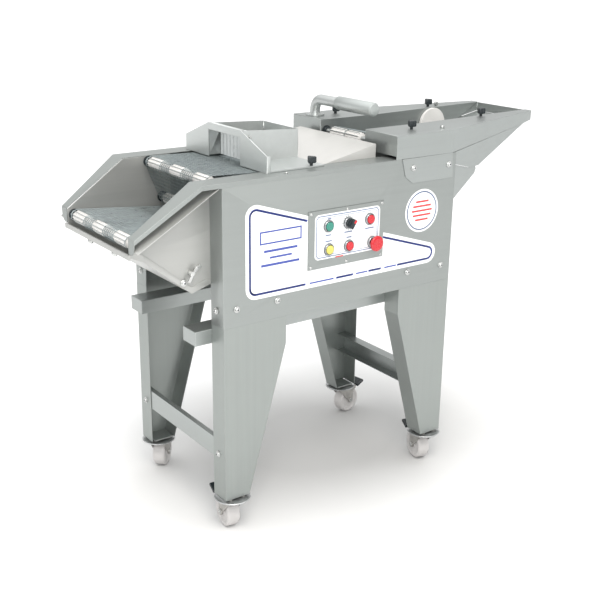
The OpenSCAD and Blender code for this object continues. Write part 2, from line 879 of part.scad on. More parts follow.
side_panel(-1);  // side_panel_near
side_panel(1);  // side_panel_far
rear_panel();
crumb_tray();
leg(true, -1);  // leg_front_near
leg(true, 1);  // leg_front_far
leg(false, -1);  // leg_rear_near
leg(false, 1);  // leg_rear_far
underframe();
outfeed_chute();
slide_plate();
infeed_decks();
infeed_chute();
control_plate();
side_labels();
switch_bezels();
upper_belt();
lower_belt();
infeed_belt();
gearmotor();
drive_chains();
roller_bearings();
body_bolts();
cable_gland();
caster_plates();
hood();
strip_curtain();
upper_front_roller();
upper_rear_roller();
idler_roller();
lower_front_roller();
lower_rear_roller();
infeed_front_roller();
infeed_rear_roller();
press_arm();
press_roller();
start_button();
stop_button();
feed_button();
reset_button();
emergency_stop();
selector_knob();
chute_latch();
hood_knob();
deck_knob_near_front();
deck_knob_far_front();
deck_knob_near_rear();
deck_knob_far_rear();
fork(caster_near_front);  // fork_near_front
fork(caster_far_front);  // fork_far_front
fork(caster_near_rear);  // fork_near_rear
fork(caster_far_rear);  // fork_far_rear
wheel(caster_near_front);  // wheel_near_front
wheel(caster_far_front);  // wheel_far_front
wheel(caster_near_rear);  // wheel_near_rear
wheel(caster_far_rear);  // wheel_far_rear
pedal(caster_near_front);  // pedal_near_front
pedal(caster_far_front);  // pedal_far_front
pedal(caster_near_rear);  // pedal_near_rear
pedal(caster_far_rear);  // pedal_far_rear
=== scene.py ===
import json
import math

import bmesh
import bpy
from mathutils import Matrix, Vector


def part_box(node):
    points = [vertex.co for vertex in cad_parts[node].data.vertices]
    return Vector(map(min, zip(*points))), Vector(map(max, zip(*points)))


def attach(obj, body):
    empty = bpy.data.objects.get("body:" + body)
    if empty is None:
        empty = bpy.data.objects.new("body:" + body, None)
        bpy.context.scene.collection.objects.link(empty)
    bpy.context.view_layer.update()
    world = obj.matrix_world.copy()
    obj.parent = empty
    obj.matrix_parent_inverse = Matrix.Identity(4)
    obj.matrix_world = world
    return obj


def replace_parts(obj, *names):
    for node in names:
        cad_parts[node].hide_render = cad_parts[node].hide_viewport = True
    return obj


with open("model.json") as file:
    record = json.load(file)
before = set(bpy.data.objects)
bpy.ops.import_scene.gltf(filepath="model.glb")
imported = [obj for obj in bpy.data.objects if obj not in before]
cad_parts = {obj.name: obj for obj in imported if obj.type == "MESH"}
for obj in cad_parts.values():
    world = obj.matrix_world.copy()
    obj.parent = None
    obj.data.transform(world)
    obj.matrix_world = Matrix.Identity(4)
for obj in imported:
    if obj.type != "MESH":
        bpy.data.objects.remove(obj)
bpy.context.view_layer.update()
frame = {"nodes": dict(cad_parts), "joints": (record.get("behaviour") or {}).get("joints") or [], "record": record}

# A breading machine on casters. Everything is in metres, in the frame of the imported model:
# +X towards the infeed end, -Y the control side, +Z up, and the floor at z = 0.

MM = 0.001
RECORD = frame["record"]
JOINTS = {j["name"]: j for j in frame["joints"]}
BODY_OF = {n: b for b, ns in RECORD["behaviour"]["bodies"].items() for n in ns}
X, Y, Z = Vector((1, 0, 0)), Vector((0, 1, 0)), Vector((0, 0, 1))
MID_Y = (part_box("upper_belt")[0].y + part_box("upper_belt")[1].y) / 2
FRONT_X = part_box("leg_front_near")[0].x


def at(x, y, z):
    """A point given in mm from the front legs' faces, the machine's middle plane and the floor."""
    return Vector((FRONT_X + x * MM, MID_Y + y * MM, z * MM))


# ---- materials ----

# short names for the Principled shader's inputs
SOCKET = {
    "color": "Base Color",
    "metal": "Metallic",
    "rough": "Roughness",
    "coat": "Coat Weight",
    "coat_rough": "Coat Roughness",
    "spec": "Specular IOR Level",
}


class Shader:
    """A Principled material with small helpers for its node tree."""

    def __init__(self, name, **constants):
        self.mat = bpy.data.materials.new(name)
        self.mat.use_nodes = True
        self.nodes = self.mat.node_tree.nodes
        self.bsdf = self.nodes["Principled BSDF"]
        for key, value in constants.items():
            self.bsdf.inputs[SOCKET[key]].default_value = value
        self.coords = self.nodes.new("ShaderNodeTexCoord").outputs["Object"]

    def link(self, a, b):
        self.mat.node_tree.links.new(a, b)

    def to(self, value, key):
        self.link(value, self.bsdf.inputs[SOCKET[key]])

    def noise(self, scale, stretch=(1, 1, 1), detail=4.0, rough=0.55):
        mapping = self.nodes.new("ShaderNodeMapping")
        mapping.inputs["Scale"].default_value = stretch
        self.link(self.coords, mapping.inputs["Vector"])
        node = self.nodes.new("ShaderNodeTexNoise")
        node.inputs["Scale"].default_value = scale
        node.inputs["Detail"].default_value = detail
        node.inputs["Roughness"].default_value = rough
        self.link(mapping.outputs["Vector"], node.inputs["Vector"])
        return node.outputs["Fac"]

    def ramp(self, value, stops):
        node = self.nodes.new("ShaderNodeValToRGB")
        band = node.color_ramp
        while len(band.elements) < len(stops):
            band.elements.new(0.5)
        for element, (place, color) in zip(band.elements, stops):
            element.position = place
            element.color = (*color, 1)
        self.link(value, node.inputs["Fac"])
        return node.outputs["Color"]

    def span(self, value, low, high, from_low=0.3, from_high=0.7):
        node = self.nodes.new("ShaderNodeMapRange")
        numbers = {"From Min": from_low, "From Max": from_high, "To Min": low, "To Max": high}
        for key, number in numbers.items():
            node.inputs[key].default_value = number
        self.link(value, node.inputs["Value"])
        return node.outputs["Result"]

    def add(self, a, b, how="ADD"):
        node = self.nodes.new("ShaderNodeMath")
        node.operation = how
        self.link(a, node.inputs[0])
        if isinstance(b, (int, float)):
            node.inputs[1].default_value = b
        else:
            self.link(b, node.inputs[1])
        return node.outputs[0]

    def bump(self, value, strength, distance):
        node = self.nodes.new("ShaderNodeBump")
        node.inputs["Strength"].default_value = strength
        node.inputs["Distance"].default_value = distance
        self.link(value, node.inputs["Height"])
        if self.bsdf.inputs["Normal"].is_linked:
            self.link(self.bsdf.inputs["Normal"].links[0].from_socket, node.inputs["Normal"])
        self.link(node.outputs["Normal"], self.bsdf.inputs["Normal"])


def shade(color, factor):
    return tuple(min(1.0, c * factor) for c in color)


def steel(name, color, rough, grain, metal=0.75):
    """Brushed stainless steel: grain is the noise stretch, small along the brushing."""
    s = Shader(name, metal=metal, rough=rough)
    fine = s.noise(90, grain, 6)
    cloud = s.noise(3.2, (1, 1, 1), 3)
    mixed = s.add(s.add(fine, 0.45, "MULTIPLY"), s.add(cloud, 0.55, "MULTIPLY"))
    s.to(s.ramp(mixed, [(0.32, shade(color, 0.93)), (0.5, color), (0.68, shade(color, 1.05))]), "color")
    s.to(s.span(mixed, rough - 0.07, rough + 0.09), "rough")
    s.bump(fine, 0.12, 0.2 * MM)
    return s.mat


def moulded(name, color, rough, grain=240, coat=0.0):
    """Moulded plastic with a fine pebble and faint colour drift."""
    s = Shader(name, rough=rough, coat=coat, coat_rough=0.12)
    pebble = s.noise(grain, (1, 1, 1), 3)
    drift = s.noise(18, (1, 1, 1), 2)
    s.to(s.ramp(drift, [(0.3, shade(color, 0.92)), (0.7, shade(color, 1.05))]), "color")
    s.to(s.span(pebble, rough - 0.06, rough + 0.08), "rough")
    s.bump(pebble, 0.10, 0.15 * MM)
    return s.mat


def plated(name, color, rough):
    """Zinc plate: bright metal with a soft spangle."""
    s = Shader(name, metal=0.9, rough=rough)
    spangle = s.noise(70, (1, 1, 1), 5)
    s.to(s.ramp(spangle, [(0.35, shade(color, 0.82)), (0.65, shade(color, 1.1))]), "color")
    s.to(s.span(spangle, rough - 0.08, rough + 0.12), "rough")
    s.bump(spangle, 0.08, 0.1 * MM)
    return s.mat


def film(name, color, rough=0.28):
    """Printed label film: even colour under a clear laminate with slight waviness."""
    s = Shader(name, rough=rough, coat=0.35, coat_rough=0.08)
    wave = s.noise(9, (1, 1, 1), 2)
    s.to(s.ramp(wave, [(0.3, shade(color, 0.975)), (0.7, color)]), "color")
    s.to(s.span(wave, rough - 0.04, rough + 0.06), "rough")
    s.bump(wave, 0.05, 0.4 * MM)
    return s.mat


ALONG_X, ALONG_Y, ALONG_Z = (0.02, 1, 1), (1, 0.02, 1), (1, 1, 0.02)
M = {
    "side": steel("steel_side", (0.30, 0.320, 0.311), 0.42, ALONG_X),
    "leg": steel("steel_leg", (0.30, 0.322, 0.31), 0.42, ALONG_Z),
    "chute": steel("steel_chute", (0.41, 0.415, 0.40), 0.4, ALONG_X, 0.6),
    "deck": steel("steel_deck", (0.34, 0.362, 0.354), 0.36, ALONG_X),
    "hood": steel("steel_hood", (0.53, 0.555, 0.545), 0.36, ALONG_Y),
    # the slide plate is the same stainless steel as the other sheets; its colour is painted lighter and warmer, a
    # painted highlight of the light on its upward face
    "ramp": steel("steel_ramp_painted_highlight", (0.55, 0.545, 0.525), 0.34, ALONG_X, 0.4),
    "tube": steel("steel_tube", (0.44, 0.46, 0.455), 0.34, ALONG_Y),
    "bolt": plated("bolt_steel", (0.56, 0.57, 0.56), 0.24),
    "zinc": plated("zinc_plate", (0.46, 0.47, 0.47), 0.34),
    "wire": plated("wire_steel", (0.31, 0.35, 0.355), 0.34),
    # dark plated steel for the chains and the selector's ticks, also used as painted shade in the bolts' hexagon
    # sockets
    "dark": plated("dark_steel_and_socket_shade", (0.10, 0.11, 0.115), 0.5),
    "chrome": plated("chrome_ring", (0.30, 0.31, 0.32), 0.2),
    "nylon": moulded("nylon_white", (0.66, 0.65, 0.63), 0.4, 160),
    "wheel": moulded("wheel_nylon", (0.52, 0.505, 0.495), 0.42, 130),
    "black": moulded("black_plastic", (0.012, 0.018, 0.021), 0.36, 300),
    "red": moulded("red_plastic", (0.50, 0.004, 0.012), 0.25, 200, 0.4),
    "green": moulded("green_plastic", (0.02, 0.20, 0.15), 0.25, 200, 0.4),
    "yellow": moulded("yellow_plastic", (0.55, 0.50, 0.10), 0.25, 200, 0.4),
    "label": film("label_white", (0.78, 0.80, 0.80)),
    "roller": steel("steel_roller", (0.46, 0.49, 0.48), 0.38, ALONG_Y, 0.7),
    "fork": plated("fork_zinc", (0.42, 0.41, 0.39), 0.36),
    "nut": plated("nut_zinc", (0.34, 0.33, 0.31), 0.4),
    "ink_blue": film("ink_blue", (0.035, 0.06, 0.30)),
    "ink_grey": film("ink_grey", (0.10, 0.14, 0.26)),
    "ink_red": film("ink_red", (0.60, 0.03, 0.03)),
    "strip": moulded("strip_plastic", (0.62, 0.65, 0.65), 0.3, 60, 0.3),
}


# ---- mesh helpers ----

def mm(profile):
    """A profile of (radius, distance) pairs given in mm, in metres."""
    return [(radius * MM, along * MM) for radius, along in profile]


def put(name, mesh, material, body, smooth):
    """A finished mesh as a piece that rides on a body. Edges sharper than smooth degrees stay sharp."""
    mesh.materials.clear()
    mesh.materials.append(M[material])
    mesh.shade_smooth()
    mesh.set_sharp_from_angle(angle=math.radians(smooth))
    piece = bpy.data.objects.new(name, mesh)
    bpy.context.scene.collection.objects.link(piece)
    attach(piece, body)
    return piece


def from_bmesh(name, bm, recalc=True):
    if recalc:
        bmesh.ops.recalc_face_normals(bm, faces=bm.faces)
    mesh = bpy.data.meshes.new(name)
    bm.to_mesh(mesh)
    bm.free()
    return mesh


def add(name, bm, material, node, smooth=40):
    """A piece on the CAD node's body, with the given material."""
    return put(name, from_bmesh(name, bm), material, BODY_OF[node], smooth)


def stand_in(name, bm, material, node, smooth=40):
    """A piece that takes the CAD node's place."""
    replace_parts(add(name, bm, material, node, smooth), node)


def frame_along(axis):
    """Two directions square to axis."""
    side = Z if abs(axis.dot(Z)) < 0.9 else X
    u = (side - axis * side.dot(axis)).normalized()
    return u, axis.cross(u)


def ray(u, v, angle):
    """The direction at an angle in the plane of u and v."""
    return u * math.cos(angle) + v * math.sin(angle)


def stitch(bm, loops, ring=False):
    """Joins loops of vertices with faces. A ring's last loop meets its first; else both ends are capped."""
    count = len(loops[0])
    for a, b in zip(loops, loops[1:] + loops[:1] if ring else loops[1:]):
        for i in range(count):
            j = (i + 1) % count
            bm.faces.new((a[i], a[j], b[j], b[i]))
    if not ring:
        bm.faces.new(loops[0][::-1])
        bm.faces.new(loops[-1])


def lathe(bm, profile, centre, axis, segments=40, ripple=None, ring=False):
    """Adds a turned shape: profile is (radius, distance along axis), closed on itself for a ring with a hole.

    ripple(step, i) scales the radius of profile point step at segment i.
    """
    u, v = frame_along(axis)
    loops = []
    for step, (radius, along) in enumerate(profile):
        loop = []
        for i in range(segments):
            r = radius * (ripple(step, i) if ripple else 1)
            loop.append(bm.verts.new(centre + axis * along + ray(u, v, 2 * math.pi * i / segments) * r))
        loops.append(loop)
    stitch(bm, loops, ring)


def prism(bm, outline, lift):
    """Adds a closed prism: outline is a list of points, lift the vector to its other face."""
    stitch(bm, [[bm.verts.new(p) for p in outline], [bm.verts.new(p + lift) for p in outline]])


SHARP = math.radians(35)      # an edge at a larger angle is rounded
THIN_FACE = 4.5               # mm; a face no wider than this is a sheet's cut edge
SHORT_EDGE = 20 * MM          # a shorter edge is only eased


def soften(piece, width):
    """Rounds the piece's sharp edges."""
    mod = piece.modifiers.new("round", "BEVEL")
    mod.width = width
    mod.segments = 2
    mod.limit_method = "ANGLE"
    mod.angle_limit = SHARP
    mod.use_clamp_overlap = True
    mod.harden_normals = False


def flat_regions(bm):
    """Groups the triangles of each flat or smooth face, as a number for every triangle."""
    region, count = {}, 0
    for start in bm.faces:
        if start in region:
            continue
        stack = [start]
        region[start] = count
        while stack:
            face = stack.pop()
            for e in face.edges:
                if len(e.link_faces) == 2 and e.calc_face_angle(0) < math.radians(1):
                    for other in e.link_faces:
                        if other not in region:
                            region[other] = count
                            stack.append(other)
        count += 1
    return region


def cad_bmesh(node):
    """The CAD node's own mesh with its doubled vertices joined."""
    bm = bmesh.new()
    bm.from_mesh(frame["nodes"][node].data)
    bmesh.ops.remove_doubles(bm, verts=bm.verts, dist=0.01 * MM)
    return bm


def dress(node, material, fold=1.6 * MM, edge=0.35 * MM):
    """The CAD node's own shape with rounded folds and eased edges."""
    bm = cad_bmesh(node)
    region = flat_regions(bm)
    area, longest = {}, {}
    for face, number in region.items():
        area[number] = area.get(number, 0) + face.calc_area()
        longest[number] = max([longest.get(number, 0)] + [e.calc_length() for e in face.edges])
    weight = bm.edges.layers.float.new("bevel_weight_edge")
    for e in bm.edges:
        if len(e.link_faces) != 2 or e.calc_face_angle(0) < SHARP:
            continue
        broad = all(area[region[f]] > longest[region[f]] * THIN_FACE * MM for f in e.link_faces)
        e[weight] = 1.0 if broad and e.calc_length() > SHORT_EDGE else edge / fold
    mesh = from_bmesh(node + "_sheet", bm, recalc=False)
    piece = put(node + "_sheet", mesh, material, BODY_OF[node], 32)
    mod = piece.modifiers.new("round", "BEVEL")
    mod.width = fold
    mod.segments = 3
    mod.limit_method = "WEIGHT"
    mod.use_clamp_overlap = False
    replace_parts(piece, node)


def islands(node):
    """Boxes of a CAD node's separate solids, as (low corner, high corner)."""
    bm = cad_bmesh(node)
    left, found = set(bm.verts), []
    while left:
        stack, group = [left.pop()], []
        while stack:
            v = stack.pop()
            group.append(v.co)
            for e in v.link_edges:
                other = e.other_vert(v)
                if other in left:
                    left.remove(other)
                    stack.append(other)
        low = Vector([min(p[i] for p in group) for i in range(3)])
        high = Vector([max(p[i] for p in group) for i in range(3)])
        found.append((low, high))
    bm.free()
    return sorted(found, key=lambda b: tuple(round(c, 5) for c in b[0]))


def joint_at(name):
    """A joint's place and direction."""
    j = JOINTS[name]
    return Vector(j.get("pos_m", (0, 0, 0))), Vector(j["axis"]).normalized()


# ---- sheet metal ----

def sheet_metal():
    for node in ("side_panel_near", "side_panel_far", "rear_panel", "crumb_tray", "control_plate"):
        dress(node, "side")
    dress("outfeed_chute", "chute")
    for end in ("front", "rear"):
        for side in ("near", "far"):
            dress(f"leg_{end}_{side}", "leg")
    for node in ("underframe", "infeed_decks", "infeed_chute"):
        dress(node, "deck")
    dress("hood", "hood")
    # the slide plate's material carries a painted highlight: a lighter, warmer copy of the sheet steel
    dress("slide_plate", "ramp")


# ---- rollers ----

WIDE, SLIM = (-110, 0, 110), (-31, 31)
# each roller's drum radius, and its drums' middles along Y, in mm
ROLLERS = {"upper_front": (15, WIDE), "upper_rear": (15, WIDE), "idler": (13, WIDE),
           "lower_front": (15, WIDE), "lower_rear": (15, WIDE),
           "infeed_front": (15, SLIM), "infeed_rear": (12, SLIM)}
# planes of the chains on each driven roller, in mm along Y
CHAINS_ON = {"upper_rear_roller": (174, 186), "lower_rear_roller": (186,), "infeed_front_roller": (198,)}
SHAFT_R, HUB_R, DRUM_LENGTH = 6 * MM, 9.8 * MM, 58 * MM
DRUM_RIBS = 12
DRUM_SEGMENTS = 10 * DRUM_RIBS
SPROCKET_R, SPROCKET_THICK, SPROCKET_STEPS = 12.4 * MM, 3 * MM, 48


def rib(_, i):
    """Radius factor of a drum: rounded ribs with narrow grooves between them, along its whole length."""
    wave = math.cos(DRUM_RIBS * (2 * math.pi * i / DRUM_SEGMENTS))
    crest = min(1.0, max(0.0, (wave + 0.75) / 0.8))
    return 0.87 + 0.13 * crest * crest * (3 - 2 * crest)


def sprocket(bm, centre):
    """A chain sprocket with its hub, turning about Y. Two of every four steps make a tooth."""
    u, v = frame_along(Y)
    outline = []
    for i in range(SPROCKET_STEPS):
        r = SPROCKET_R * (1 if i % 4 < 2 else 0.84)
        outline.append(centre - Y * SPROCKET_THICK / 2 + ray(u, v, 2 * math.pi * i / SPROCKET_STEPS) * r)
    prism(bm, outline, Y * SPROCKET_THICK)
    lathe(bm, mm([(9, -3), (9.5, -2.4), (9.5, 2.4), (9, 3)]), centre, Y, 32)


def drum_roller(name, radius, places):
    """Ribbed nylon drums on one hub and a steel shaft. places are the drums' middles along Y, in mm."""
    node = name + "_roller"
    low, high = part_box(node)
    centre, _ = joint_at(name + "_spin")
    base = Vector((centre.x, MID_Y, centre.z))
    radius *= MM
    bm = bmesh.new()
    for place in places:
        y0, y1 = place * MM - DRUM_LENGTH / 2, place * MM + DRUM_LENGTH / 2
        lathe(bm, [(radius * 0.86, y0), (radius * 0.97, y0 + 0.8 * MM), (radius, y0 + 2.2 * MM),
                   (radius, y1 - 2.2 * MM), (radius * 0.97, y1 - 0.8 * MM), (radius * 0.86, y1)],
              base, Y, DRUM_SEGMENTS, rib)
    # the hub narrows between the drums and at its ends
    neck = HUB_R * 0.9
    end = places[-1] * MM + DRUM_LENGTH / 2 + 2 * MM
    profile = [(neck, -end), (HUB_R, 0.8 * MM - end)]
    for a, b in zip(places, places[1:]):
        middle = (a + b) / 2 * MM
        profile += [(HUB_R, middle - 6 * MM), (neck, middle - 5 * MM), (neck, middle + 5 * MM),
                    (HUB_R, middle + 6 * MM)]
    profile += [(HUB_R, end - 0.8 * MM), (neck, end)]
    lathe(bm, profile, base, Y, 36)
    add(node + "_drums", bm, "nylon", node)
    bm = bmesh.new()
    start, stop = low.y - MID_Y, high.y - MID_Y
    lathe(bm, [(SHAFT_R * 0.82, start), (SHAFT_R, start + 1 * MM), (SHAFT_R, stop - 1 * MM),
               (SHAFT_R * 0.82, stop)], base, Y, 32)
    for y in CHAINS_ON.get(node, ()):
        sprocket(bm, base + Y * y * MM)
    stand_in(node + "_shaft", bm, "tube", node)


def rollers():
    for name, (radius, places) in ROLLERS.items():
        drum_roller(name, radius, places)


# ---- belts ----

# each belt's rollers, in the order in which it runs round them
BELTS = {"upper_belt": ("upper_front", "idler", "upper_rear"), "lower_belt": ("lower_front", "lower_rear"),
         "infeed_belt": ("infeed_front", "infeed_rear")}
BELT_LIFT = 1.2                            # mm from a drum's surface to the middle of the mesh
ROW_PITCH, COIL_PITCH = 10.6 * MM, 8.8 * MM
ROD_R, COIL_R, COIL_HALF = 0.75 * MM, 0.55 * MM, 0.45 * MM
RIB_REACH = 28 * MM                        # half the width left open for a drum's ribs
# one turn of a coil: part of the row step, part of the coil pitch, and side of the mesh
COIL_TURN = ((-0.08, 0, 1), (1.08, 0.22, 1), (1.08, 0.5, -1), (-0.08, 0.72, -1))


def hull_path(circles):
    """Closed outer path round circles (x, z, r), given in order.

    Its parts are ("arc", x, z, radius, first angle, last angle) and
    ("line", x0, z0, x1, z1, angle of the outward normal), in turn.
    """
    count = len(circles)
    leave = []
    for i in range(count):
        x0, z0, r0 = circles[i]
        x1, z1, r1 = circles[(i + 1) % count]
        dx, dz = x1 - x0, z1 - z0
        leave.append(math.atan2(dz, dx) - math.pi / 2 + math.asin((r1 - r0) / math.hypot(dx, dz)))
    parts = []
    for i in range(count):
        x, z, r = circles[i]
        a0, a1 = leave[i - 1], leave[i]
        while a1 < a0:
            a1 += 2 * math.pi
        parts.append(("arc", x, z, r, a0, a1))
        x1, z1, r1 = circles[(i + 1) % count]
        parts.append(("line", x + r * math.cos(a1), z + r * math.sin(a1),
                      x1 + r1 * math.cos(a1), z1 + r1 * math.sin(a1), a1))
    return parts


def part_length(part):
    if part[0] == "arc":
        return (part[5] - part[4]) * part[3]
    return math.hypot(part[3] - part[1], part[4] - part[2])


def path_length(path):
    return sum(part_length(part) for part in path)


def path_point(path, s):
    """Point and outward normal at distance s along a closed path, both in X and Z."""
    s %= path_length(path)
    for part in path:
        size = part_length(part)
        if s <= size:
            if part[0] == "arc":
                _, x, z, r, first, _ = part
                a = first + s / r
                return (x + r * math.cos(a), z + r * math.sin(a)), (math.cos(a), math.sin(a))
            _, x0, z0, x1, z1, normal = part
            t = s / size
            return (x0 + (x1 - x0) * t, z0 + (z1 - z0) * t), (math.cos(normal), math.sin(normal))
        s -= size
    return (path[0][1] + path[0][3], path[0][2]), (1, 0)


def wire(verts, faces, points, radius, sides):
    """Adds a thin wire along points to the vertex and face lists."""
    start = len(verts)
    for i, p in enumerate(points):
        ahead = (points[min(i + 1, len(points) - 1)] - points[max(i - 1, 0)]).normalized()
        u, v = frame_along(ahead)
        for k in range(sides):
            verts.append(p + ray(u, v, 2 * math.pi * k / sides) * radius)
    for i in range(len(points) - 1):
        for k in range(sides):
            a, b = start + i * sides + k, start + i * sides + (k + 1) % sides
            faces.append((a, b, b + sides, a + sides))
    faces.append(tuple(start + k for k in range(sides))[::-1])
    last = start + (len(points) - 1) * sides
    faces.append(tuple(last + k for k in range(sides)))


def mesh_belt(node, names):
    """Spiral wire mesh belt: cross rods joined by flattened coils, open where the drums' ribs reach in."""
    low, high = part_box(node)
    width = high.y - low.y - 1 * MM
    y0, y1 = MID_Y - width / 2, MID_Y + width / 2
    tracks = ROLLERS[names[0]][1]
    circles = []
    for name in names:
        centre, _ = joint_at(name + "_spin")
        circles.append((centre.x, centre.z, (ROLLERS[name][0] + BELT_LIFT) * MM))
    path = hull_path(circles)
    total = path_length(path)
    rows = round(total / ROW_PITCH)
    step = total / rows
    turns = round(width / COIL_PITCH)
    pitch = width / turns
    verts, faces = [], []

    def point(s, y, lift):
        (px, pz), (nx, nz) = path_point(path, s)
        return Vector((px + nx * lift, y, pz + nz * lift))

    for row in range(rows):
        s = row * step
        wire(verts, faces, [point(s, y0, 0), point(s, y1, 0)], ROD_R, 5)
        (px, pz), _ = path_point(path, s + step / 2)
        on_drum = any(math.hypot(px - x, pz - z) < r + 0.2 * MM for x, z, r in circles)
        points = []
        for k in range(turns):
            y = y0 + pitch * (k + 0.2)
            if on_drum and any(abs(y + pitch / 2 - MID_Y - track * MM) < RIB_REACH for track in tracks):
                if len(points) > 1:
                    wire(verts, faces, points, COIL_R, 4)
                points = []
                continue
            points += [point(s + ds * step, y + dy * pitch, side * COIL_HALF) for ds, dy, side in COIL_TURN]
        if len(points) > 1:
            wire(verts, faces, points, COIL_R, 4)
    mesh = bpy.data.meshes.new(node + "_wire")
    mesh.from_pydata(verts, [], faces)
    piece = put(node + "_wire", mesh, "wire", BODY_OF[node], 60)
    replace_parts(piece, node)


def belts():
    for node, names in BELTS.items():
        mesh_belt(node, names)


# ---- hood, curtain, press roller ----

STRIPS, STRIP_STEPS = 9, 8


def curtain():
    """Slightly bowed soft strips side by side, hung from a tube that turns on the hood's rod."""
    node = "strip_curtain"
    low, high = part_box(node)
    pin, _ = joint_at("curtain_swing")
    half = (high.y - low.y) / 2
    bm = bmesh.new()
    lathe(bm, [(3.2 * MM, -half), (4.6 * MM, -half), (5.4 * MM, 0.8 * MM - half), (5.4 * MM, half - 0.8 * MM),
               (4.6 * MM, half), (3.2 * MM, half)], Vector((pin.x, MID_Y, pin.z)), Y, 28, ring=True)
    pitch = 2 * half / STRIPS
    top, foot = pin.z - 4 * MM, low.z + 0.5 * MM
    for i in range(STRIPS):
        y0, y1 = MID_Y - half + pitch * i + 0.3 * MM, MID_Y - half + pitch * (i + 1) - 0.5 * MM
        outline = []
        for k in range(STRIP_STEPS + 1):
            t = k / STRIP_STEPS
            bow = 1.1 * MM * math.sin(math.pi * t)
            outline.append(Vector((pin.x - 1.0 * MM + bow, y0 + (y1 - y0) * t, foot)))
        back = [p + X * 0.9 * MM for p in reversed(outline)]
        prism(bm, outline + back, Z * (top - foot))
    stand_in("curtain_strips", bm, "strip", node, 30)


def hood_bolts():
    """A small domed bolt on each side wall of the hood's tunnel."""
    bm = bmesh.new()
    low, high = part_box("hood")
    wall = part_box("strip_curtain")[1].y - MID_Y + 6.0 * MM
    for side in (-1, 1):
        lathe(bm, mm([(4.2, 0), (4.2, 1.0), (3.4, 2.4), (1.6, 3.0)]),
              Vector((low.x + 26 * MM, MID_Y + side * wall, high.z - 18 * MM)), Y * side, 24)
    add("hood_wall_bolts", bm, "bolt", "hood")


ARM_FOOT = (542, 165, 965.2)   # middle of the press arm's foot plate, on its top, for at()
ARM_SCREWS = 17                # mm from there to each of its four screws


def press_parts():
    dress("press_arm", "tube", 0.8 * MM, 0.4 * MM)
    node = "press_roller"
    low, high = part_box(node)
    pin, _ = joint_at("press_roller_spin")
    bm = bmesh.new()
    lathe(bm, [(12 * MM, low.y), (15 * MM, low.y + 1 * MM), (16 * MM, low.y + 3 * MM),
               (17.4 * MM, low.y + 3.6 * MM), (18 * MM, low.y + 5 * MM), (18 * MM, high.y - 1.4 * MM),
               (17 * MM, high.y - 0.2 * MM), (9 * MM, high.y)], Vector((pin.x, 0, pin.z)), Y, 56)
    stand_in("press_roller_tube", bm, "roller", node)
    bm = bmesh.new()
    x, y, z = ARM_FOOT
    for dx, dy in ((-1, 0), (1, 0), (0, -1), (0, 1)):
        place = at(x + dx * ARM_SCREWS, y + dy * ARM_SCREWS, z)
        lathe(bm, mm([(3.4, 0), (3.4, 1.6), (2.6, 2.2)]), place, Z, 20)
    add("press_arm_screws", bm, "bolt", "press_arm")


# ---- labels: x and z are in mm, as for at() ----

SIDE_FILM = -220.6                       # the side labels' outer face, as y for at()
INK_GAP, INK_THICK = 0.02 * MM, 0.08 * MM
PLATE_GAP = (236, 654, 478, 805)         # where the control plate breaks the long label's line
FOOT_GAPS = ((236, 330), (382, 436), (476, 532))
ROUND_LABEL = (605, 758, 50)             # middle and radius of its printed ring
CONTROL_LABEL = (258, 679, 461, 792)


def bar(x0, z0, x1, z1):
    return [(x0, z0), (x1, z0), (x1, z1), (x0, z1)]


def line(path, width):
    """Quads of a printed line along a path, each a little longer than its part so that corners close."""
    quads = []
    for (x0, z0), (x1, z1) in zip(path, path[1:]):
        length = math.hypot(x1 - x0, z1 - z0)
        nx, nz = -(z1 - z0) / length * width / 2, (x1 - x0) / length * width / 2
        ex, ez = (x1 - x0) / length * width * 0.2, (z1 - z0) / length * width * 0.2
        quads.append([(x0 - ex + nx, z0 - ez + nz), (x1 + ex + nx, z1 + ez + nz),
                      (x1 + ex - nx, z1 + ez - nz), (x0 - ex - nx, z0 - ez - nz)])
    return quads


def inked(name, outlines, y, ink):
    """Flat printed shapes on the film whose outer face is at y, in metres."""
    bm = bmesh.new()
    for outline in outlines:
        prism(bm, [Vector((FRONT_X + x * MM, y - INK_GAP, z * MM)) for x, z in outline], Y * -INK_THICK)
    add(name, bm, ink, "side_labels", 30)


def round_outline(centres, radius, steps=8):
    """Outline round equal circles at the given centres, clockwise from above left."""
    points = []
    count = len(centres)
    for i in range(count):
        (bx, bz), (cx, cz), (ax, az) = centres[i - 1], centres[i], centres[(i + 1) % count]
        a0 = math.atan2(cz - bz, cx - bx) + math.pi / 2
        a1 = math.atan2(az - cz, ax - cx) + math.pi / 2
        while a1 > a0:
            a1 -= 2 * math.pi
        for k in range(steps + 1):
            a = a0 + (a1 - a0) * k / steps
            points.append((cx + radius * math.cos(a), cz + radius * math.sin(a)))
    return points


def long_label_line():
    """The long label's printed outline, broken by the control plate and by the bars at its foot."""
    ring = round_outline([(89, 812), (632, 640), (89, 640)], 16)
    x_low, z_low, x_high, z_high = PLATE_GAP
    quads = []
    for a, b in zip(ring, ring[1:] + ring[:1]):
        steps = max(1, round(math.hypot(b[0] - a[0], b[1] - a[1]) / 4))
        for k in range(steps):
            p = (a[0] + (b[0] - a[0]) * k / steps, a[1] + (b[1] - a[1]) * k / steps)
            q = (a[0] + (b[0] - a[0]) * (k + 1) / steps, a[1] + (b[1] - a[1]) * (k + 1) / steps)
            covered = x_low < (p[0] + q[0]) / 2 < x_high and z_low < (p[1] + q[1]) / 2 < z_high
            foot = p[1] < 630 and any(x0 < p[0] < x1 for x0, x1 in FOOT_GAPS)
            if not covered and not foot:
                quads += line([p, q], 5.5)
    return quads


